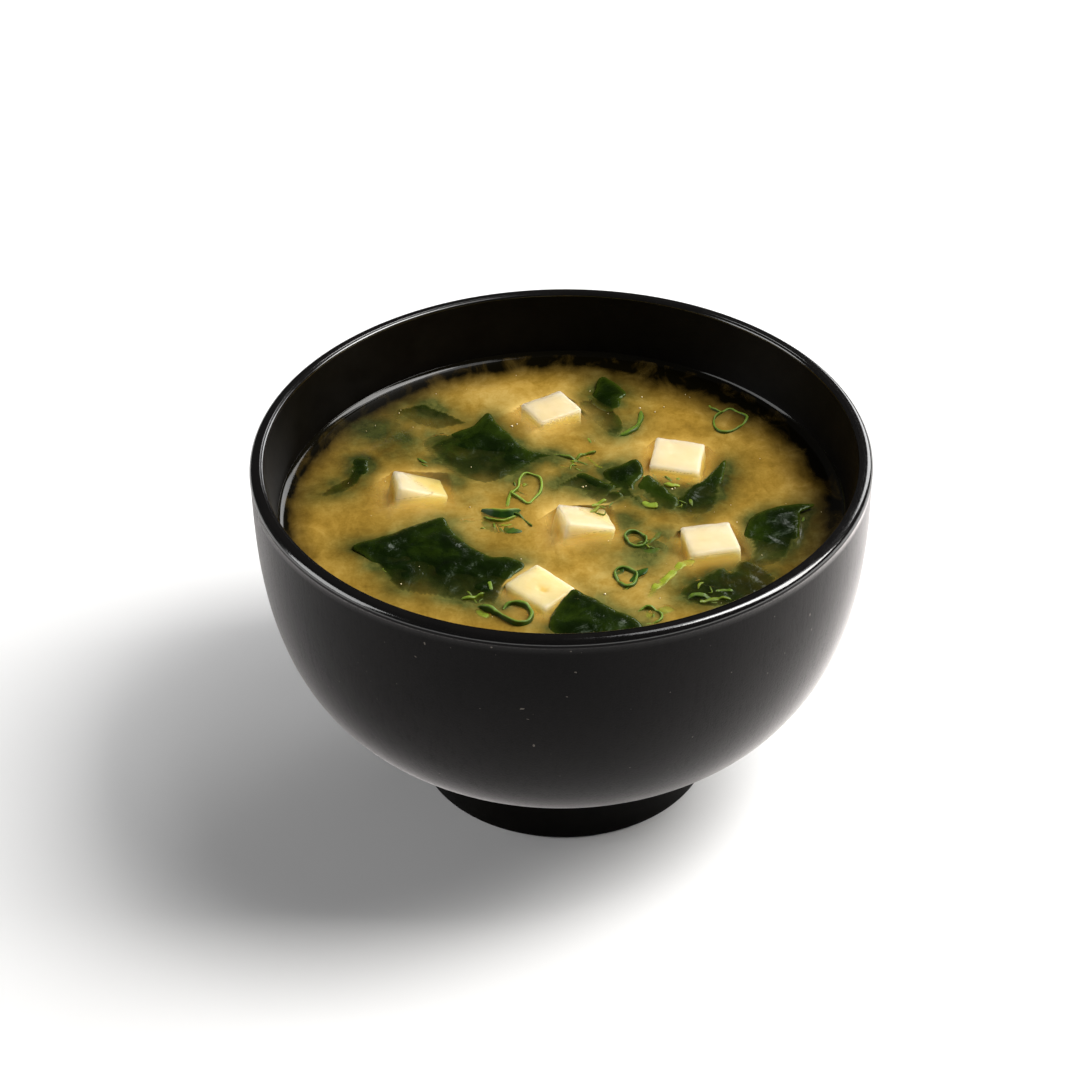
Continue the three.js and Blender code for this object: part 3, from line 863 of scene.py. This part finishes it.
# rings right of centre
strip([(627, 541, .0), (625, 536, .2), (631, 532, .3), (639, 533, .2), (646, 538, .2), (645, 544, .3), (637, 546, .3), (630, 544, .2)], 0.5, 1.5, 0.05, closed=True, count=50, seed=20, cut=0.45, wobble=0.1)
strip([(645, 544, .1), (652, 540, .2), (658, 533, .2), (663, 526, .1)], 1.0, 0.45, 0.2, count=18, seed=21, blade=True, cut=0.1)
strip([(643, 548, -.1), (652, 550, .0), (661, 548, -.2)], 2.0, 0.5, 0.05, count=16, seed=22, blade=True, cut=0.1)
strip([(615, 572, .0), (622, 568, .2), (631, 570, .3), (637, 575, .2), (634, 584, .1), (626, 587, .0), (618, 581, .0)], 0.5, 1.4, 0.05, closed=True, count=50, seed=23, cut=0.45, wobble=0.1)
strip([(630, 581, .2), (637, 575, .4), (648, 567, .7)], 2.2, 0.45, 0.0, count=18, seed=35, blade=True, cut=0.05, lean=-0.3)
strip([(612, 578, -.2), (617, 573, .1), (624, 569, .2)], 1.4, 0.5, 0.02, count=14, seed=36, blade=True, cut=0.1)
strip([(602, 596, -.3), (616, 591, -.1), (629, 588, .1)], 0.4, 0.5, 0.3, count=18, seed=24)
strip([(694, 559, -.3), (684, 563, -.1), (675, 570, .1), (666, 579, .1), (656, 587, -.1), (648, 598, -.4)], 1.5, 0.5, 0.95, count=40, seed=25, cut=0.3)
# ring by the front rim
strip([(638, 612, -.1), (646, 607, .3), (655, 609, .3), (662, 615, .2), (658, 622, .0), (646, 624, .0)], 0.5, 1.0, 0.25, count=36, seed=26)
strip([(646, 616, -.3), (660, 613, -.3), (672, 606, -.3)], 3.0, 0.5, 0.8, count=16, seed=27, cut=0.1)
# slices over the sunk leaf, front right
strip([(688, 597, .2), (696, 594, .4), (706, 595, .4), (714, 599, .2)], 0.9, 0.5, 0.12, count=24, seed=28, cut=0.2)
strip([(700, 602, .2), (711, 598, .4), (722, 597, .4), (731, 600, .1)], 0.8, 0.45, 0.4, count=24, seed=29, cut=0.2)
strip([(716, 590, .2), (724, 588, .4), (733, 590, .2)], 0.6, 0.4, 0.15, count=16, seed=37, cut=0.2)
# crescent beside the back leaf
strip([(641, 411, .3), (641, 417, .3), (637, 426, .3), (628, 432, .2), (618, 436, -.2)], 1.2, 0.7, 0.12, count=26, seed=30, lean=0.4)
# ring with a tail, back right
strip([(707, 403, .1), (713, 408, .3), (721, 412, .3)], 0.5, 0.7, 0.2, count=14, seed=31)
strip([(721, 412, .3), (714, 419, .3), (716, 428, .3), (724, 432, .3), (734, 430, .2), (743, 424, .1), (747, 417, .1), (738, 412, .0), (729, 409, .1)], 0.45, 0.9, 0.1, closed=True, count=60, seed=32, wobble=0.08)

# small scraps round the cut slices: photo x, photo y, spread in px, how many
rng = np.random.default_rng(23)
for u, v, spread, many in [(600, 505, 8, 4), (664, 486, 12, 7), (525, 486, 12, 6), (578, 460, 16, 6), (640, 545, 12, 4), (628, 580, 12, 3), (712, 592, 14, 4), (655, 612, 10, 3), (500, 526, 12, 3),
                           (476, 598, 10, 4), (392, 566, 8, 3), (425, 460, 14, 4), (800, 520, 6, 3), (690, 500, 12, 4)]:
    for k in range(many):
        cu, cv = u + rng.normal(0, spread * 0.6), v + rng.normal(0, spread * 0.45)
        turn, span = rng.uniform(0, math.pi), rng.uniform(3, 8)
        du, dv = math.cos(turn) * span, math.sin(turn) * span * 0.6
        bend = rng.normal(0, 1.5)
        h = rng.uniform(-0.25, 0.2)
        strip([(cu - du, cv - dv, h), (cu + bend, cv + bend, h + 0.15), (cu + du, cv + dv, h - 0.1)], rng.uniform(0.25, 0.6), rng.uniform(0.3, 0.5), rng.uniform(0.0, 0.6), count=10, cut=0.2, wobble=0.05, blade=True, seed=int(rng.integers(40, 4000)))

scallion_v, scallion_f, scallion_x = scallion.all()
ob = make_piece("scallion_slices", scallion_v, scallion_f, [MAT_SCALLION], attributes=scallion_x)
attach(ob, "root")

# ------------------------------------------------------------------------ soup


def nearest(tree, pts):
    return np.array([tree.find_nearest(Vector(q))[3] for q in pts.tolist()])


RAYS = [Vector((0, 0, -1)), Vector((0, 0.6, -0.8)), Vector((0.42, 0.42, -0.8)), Vector((-0.42, 0.42, -0.8))]


def depth_below(tree, pts, near, reach, rays=RAYS):
    """Shortest way down from each surface point to a body under it; bodies breaking the surface count as no depth."""
    out = np.full(len(pts), 99.0)
    for i in np.nonzero(near < reach)[0]:
        spot = Vector((pts[i, 0], pts[i, 1], SOUP_Z))
        for ray in rays:
            back = 2.0 if ray.z < -0.99 else 0.0
            hit = tree.ray_cast(spot - ray * back, ray, reach + back)
            if hit[3] is not None:
                out[i] = min(out[i], max(hit[3] - back, 0.0))
    return out


def tree_of(bodies):
    verts, faces, base = [], [], 0
    for v, f in bodies:
        verts += np.asarray(v).tolist()
        faces += [tuple(int(i) + base for i in q) for q in f]
        base += len(v)
    return BVHTree.FromPolygons(verts, faces)


tofu_tree = tree_of([(v, CUBE_F) for v in tofu_verts])
leaf_tree = tree_of(leaf_bodies)
scallion_tree = tree_of([(scallion_v, scallion_f)])

SEG = 512
# where drifting greens tint the broth: photo x, photo y, reach in mm, strength
GREEN_SPOTS = [(372, 430, 7.5, 1.0), (405, 445, 7.5, 1.0), (440, 455, 6.5, .9), (336, 430, 5.0, .6), (352, 452, 5.0, .5), (345, 488, 4.5, .5), (640, 556, 7.5, 1.05), (668, 541, 6.5, 1.1), (622, 522, 6.0, 1.05), (600, 547, 5.0, .6), (560, 562, 3.5, .25), (660, 590, 4.0, .5),
               (655, 505, 6.0, .8), (700, 520, 4.5, .7), (735, 585, 8.0, .9), (690, 592, 5.0, .7), (805, 525, 4.0, .7), (520, 486, 5.0, .5), (606, 432, 3.0, .35), (498, 606, 4.0, .6),
               (560, 482, 4.0, .5), (600, 580, 3.5, .3), (590, 520, 3.0, .4), (735, 480, 3.0, .4), (400, 600, 4.0, .35), (450, 482, 6.0, .9), (470, 498, 5.0, .5), (430, 462, 5.0, .7)]


def build_soup():
    contact = SOUP_Z + MENISCUS
    wall = inner_radius(contact) + 0.06
    rings = np.r_[np.linspace(0.5, wall - 4.0, 96), wall - 4.0 + 4.0 * np.linspace(0, 1, 27)[1:] ** 0.8]
    ang = np.arange(SEG) * 2 * math.pi / SEG
    rr, aa = np.meshgrid(rings, ang, indexing="ij")
    x, y = (rr * np.cos(aa)).ravel(), (rr * np.sin(aa)).ravel()
    r = rr.ravel()
    z = SOUP_Z + MENISCUS * np.exp(-(wall - r) / MENISCUS_W * 1.15)
    z += 0.05 * fractal(x, y, 9.0, 3)
    flat = np.c_[x, y, np.full(len(x), SOUP_Z)]
    d_tofu, d_leaf, d_scal = nearest(tofu_tree, flat), nearest(leaf_tree, flat), nearest(scallion_tree, flat)
    # the surface climbs a little where something stands in it
    z += 0.14 * np.exp(-d_tofu / 0.8) + 0.14 * np.exp(-d_leaf / 0.4)
    top = np.c_[x, y, z]
    wisp = fractal(x, y, 3.2, 21, 4)
    t_down, t_lean = depth_below(tofu_tree, flat, d_tofu, 5.0, RAYS[:1]), depth_below(tofu_tree, flat, d_tofu, 9.5, RAYS[1:])
    b_leaf, b_scal = depth_below(leaf_tree, flat, d_leaf, 6.0), depth_below(scallion_tree, flat, d_scal, 3.0)
    haze_d = 0.02 + 0.98 * (1 - np.exp(-(t_down / 0.5) ** 1.1))
    haze_t = 0.02 + 0.98 * (1 - np.exp(-(t_lean / 4.8) ** 1.4))
    haze_l = 0.03 + 0.97 * (1 - np.exp(-(b_leaf / 2.1) ** 1.4))
    haze_s = 0.05 + 0.95 * (1 - np.exp(-(b_scal / 0.9) ** 1.3))
    # clear dark broth over the black wall, wider on the right and at the back; where it reaches farther in on the right
    # it is painted shadow of the rim
    theta = np.arctan2(y, x)
    turn = np.degrees(theta) % 360
    azimuth = [0, 20, 35, 65, 80, 95, 125, 155, 170, 185, 230, 310, 360]
    start = np.interp(turn, azimuth, [2.6, 3.0, 3.0, 4.5, 3.8, 3.0, 2.8, 2.7, 2.0, 2.0, 2.0, 2.2, 2.6])
    far = np.interp(turn, azimuth, [11.5, 10.8, 12.5, 15, 12.5, 10.4, 9.2, 8.2, 7.5, 7.0, 6.8, 7.5, 11.5])
    power = np.interp(turn, azimuth, [1.05, 1.2, 1.3, 1.3, 1.3, 1.25, 1.1, 0.9, 0.85, 0.85, 0.9, 1.0, 1.05])
    run = wall - r + 0.8 * fractal(x, y, 6.0, 8) + 0.6 * wisp
    clear = np.clip((run - start) / (far - start), 0, 1) ** power
    # the broth closes up again just short of an edge
    def closed(values, cells):
        field = values.reshape(len(rings), SEG)
        for _ in range(cells):
            wide = field.copy()
            for dk, da in ((1, 0), (-1, 0), (0, 1), (0, -1)):
                moved = np.roll(field, da, axis=1) if da else np.r_[field[1:], field[-1:]] if dk > 0 else np.r_[field[:1], field[:-1]]
                wide = np.maximum(wide, moved)
            field = wide
        return field.ravel()

    haze = np.minimum(np.minimum(closed(haze_l, 2), closed(haze_s, 1)), np.minimum(closed(haze_d, 2), haze_t))
    haze = np.where(wall - r < 1.4, 1.0, haze)
    green = 0.95 * np.exp(-(d_leaf / 3.8) ** 1.2) + 0.3 * np.exp(-d_scal / 1.6)
    drift = np.zeros(len(x))
    for u, v, reach, amount in GREEN_SPOTS:
        q = at(u, v)
        drift = np.maximum(drift, amount * np.exp(-(((x - q[0]) ** 2 + (y - q[1]) ** 2) / reach ** 2)))
    green = np.maximum(green, drift)
    green = green * (0.95 + 0.35 * fractal(x, y, 5.0, 51))
    # light that the tofu passes on, seen through the broth in front of it
    d_glow = nearest(tofu_tree, np.c_[x + 0.5, y + 1.3, np.full(len(x), SOUP_Z - 1.5)])
    glow = 0.85 * np.exp(-(d_glow / 1.9) ** 1.5) * (1 - 0.8 * np.clip(drift, 0, 1))
    n = len(rings)
    # underside, just inside the wall
    low = []
    for t in np.linspace(1, 0, 18)[1:-1]:
        zz = INNER_Z0 + 0.15 + (contact - INNER_Z0 - 0.15) * t ** 1.6
        rad = inner_radius(zz - 0.1) - 0.12
        low.append(np.c_[rad * np.cos(ang), rad * np.sin(ang), np.full(SEG, zz)])
    under = np.concatenate(low)
    verts = np.r_[top, under, [[0, 0, SOUP_Z + 0.03], [0, 0, INNER_Z0 + 0.15]]]
    total = n + len(low)
    faces = []
    centre, bottom = len(verts) - 2, len(verts) - 1
    nxt = (np.arange(SEG) + 1) % SEG
    for s in range(SEG):
        faces.append((centre, s, int(nxt[s])))
    for k in range(total - 1):
        a, b = k * SEG, (k + 1) * SEG
        for s in range(SEG):
            faces.append((a + s, b + s, b + int(nxt[s]), a + int(nxt[s])))
    a = (total - 1) * SEG
    for s in range(SEG):
        faces.append((a + s, bottom, a + int(nxt[s])))
    pad = len(under) + 2

    def full(values, rest):
        out = np.r_[values, np.full(pad, rest)]
        out[-2] = values[0]
        return out

    edge = np.r_[np.exp(-(wall - r) / 1.6), np.ones(pad)]
    edge[-2] = 0
    ob = make_piece("soup_broth", verts, faces, [MAT_SOUP], attributes={
        "haze": full(haze, 1.0), "green": full(np.clip(green, 0, 1), 0), "glow": full(glow, 0),
        "clear_broth_and_rim_shade": np.maximum(1.5 * edge, full(1 - clear, 1.0))})
    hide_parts("soup")
    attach(ob, "root")


build_soup()


def build_cloud():
    """The settled miso under the surface: an opaque rolling body with a ragged edge."""
    seg, n = 220, 60
    ang = np.arange(seg) * 2 * math.pi / seg
    reach = inner_radius(50.0) - 3.5 + 1.2 * noise2(np.cos(ang) * 20, np.sin(ang) * 20, 5.0, 4)
    t = np.linspace(0.02, 1, n)
    x = np.outer(t, reach * np.cos(ang)).ravel()
    y = np.outer(t, reach * np.sin(ang)).ravel()
    rad = np.repeat(t, seg)
    top_z = SOUP_Z - 4.2 + 0.9 * fractal(x, y, 9.0, 31, 3) - 5.0 * smooth_step(0.86, 1.0, rad)
    low_z = INNER_Z0 + 4 + 24 * rad ** 6
    verts = np.r_[np.c_[x, y, top_z], np.c_[x, y, np.minimum(low_z, top_z - 0.4)][: (n - 1) * seg], [[0, 0, SOUP_Z - 4.2], [0, 0, INNER_Z0 + 4]]]
    nxt = (np.arange(seg) + 1) % seg
    faces = []
    m = n * seg
    c0, c1 = len(verts) - 2, len(verts) - 1
    for s in range(seg):
        faces.append((c0, s, int(nxt[s])))
        faces.append((c1, m + int(nxt[s]), m + s))
    for k in range(n - 1):
        a, b = k * seg, (k + 1) * seg
        for s in range(seg):
            faces.append((a + s, b + s, b + int(nxt[s]), a + int(nxt[s])))
    for k in range(n - 2):
        a, b = m + k * seg, m + (k + 1) * seg
        for s in range(seg):
            faces.append((a + s, a + int(nxt[s]), b + int(nxt[s]), b + s))
    a, b = m + (n - 2) * seg, (n - 1) * seg
    for s in range(seg):
        faces.append((a + s, a + int(nxt[s]), b + int(nxt[s]), b + s))
    ob = make_piece("miso_cloud", verts, faces, [MAT_CLOUD])
    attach(ob, "root")


build_cloud()

# --------------------------------------------------------------------- bubbles


def ball(centre, radius, squash=0.75):
    rows, cols = 6, 10
    verts = [(0, 0, 1)]
    for i in range(1, rows):
        p = math.pi * i / rows
        for j in range(cols):
            q = 2 * math.pi * j / cols
            verts.append((math.sin(p) * math.cos(q), math.sin(p) * math.sin(q), math.cos(p)))
    verts.append((0, 0, -1))
    faces = []
    for j in range(cols):
        k = (j + 1) % cols
        faces.append((0, 1 + j, 1 + k))
        for i in range(rows - 2):
            a, b = 1 + i * cols, 1 + (i + 1) * cols
            faces.append((a + j, b + j, b + k, a + k))
        a = 1 + (rows - 2) * cols
        faces.append((a + j, len(verts) - 1, a + k))
    v = np.array(verts, float) * radius
    v[:, 2] *= squash
    return v + np.asarray(centre), faces


bubbles = Parts()
BUBBLE_SPOTS = [(642, 397, .16), (655, 412, .15), (664, 407, .14), (640, 408, .2), (512, 426, .24), (517, 424, .16), (470, 507, .12), (590, 391, .12), (399, 413, .14),
                (583, 487, .2), (586, 486, .14), (644, 476, .16), (672, 489, .2), (675, 488, .14), (694, 470, .1), (401, 584, .16), (766, 537, .13), (660, 598, .1), (521, 559, .12), (605, 594, .2), (720, 534, .12)]
for u, v, rad in BUBBLE_SPOTS:
    bubbles.add(*ball(at(u, v, 0.12), rad))
rng = np.random.default_rng(5)
for _ in range(46):
    q, a = 50 * math.sqrt(rng.random()), rng.random() * 2 * math.pi
    bubbles.add(*ball((q * math.cos(a), q * math.sin(a), SOUP_Z + 0.05), rng.uniform(0.05, 0.12)))
bv, bf, _ = bubbles.all()
ob = make_piece("bubbles", bv, bf, [MAT_BUBBLE])
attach(ob, "root")

# ----------------------------------------------------------- floor, light, view


def area_light(name, direction, distance, size, power, colour=(1, 1, 1), aim=(0, 0, 0.05)):
    data = bpy.data.lights.new(name, "AREA")
    data.shape = "RECTANGLE"
    data.size, data.size_y = size
    data.energy = power
    data.color = colour
    ob = bpy.data.objects.new(name, data)
    scene.collection.objects.link(ob)
    d = Vector(direction).normalized()
    ob.location = Vector(aim) + d * distance
    ob.rotation_euler = (-d).to_track_quat("-Z", "Y").to_euler()
    return ob


area_light("key_right", (0.68, 0.05, 0.73), 1.0, (0.45, 0.8), 14.0, (1.0, 0.985, 0.96))
area_light("fill_top", (0.40, 0.15, 0.90), 1.3, (0.7, 0.7), 4.5)
area_light("fill_left", (-0.92, -0.08, 0.34), 1.1, (0.7, 0.7), 6.5)
area_light("fill_back", (0.48, 0.78, 0.42), 1.1, (0.5, 0.5), 4.2)

floor_mesh = bpy.data.meshes.new("floor")
floor_mesh.from_pydata([(-4, -4, 0), (4, -4, 0), (4, 4, 0), (-4, 4, 0)], [], [(0, 1, 2, 3)])
floor_mesh.materials.append(floor_material())
floor = bpy.data.objects.new("floor", floor_mesh)
scene.collection.objects.link(floor)

world = bpy.data.worlds.new("studio")
world.use_nodes = True
world.node_tree.nodes["Background"].inputs["Color"].default_value = (1, 1, 1, 1)
world.node_tree.nodes["Background"].inputs["Strength"].default_value = 0.05
scene.world = world
scene.view_settings.view_transform = "Standard"
scene.view_settings.look = "None"
scene.view_settings.exposure = 0.0
scene.view_settings.gamma = 1.0
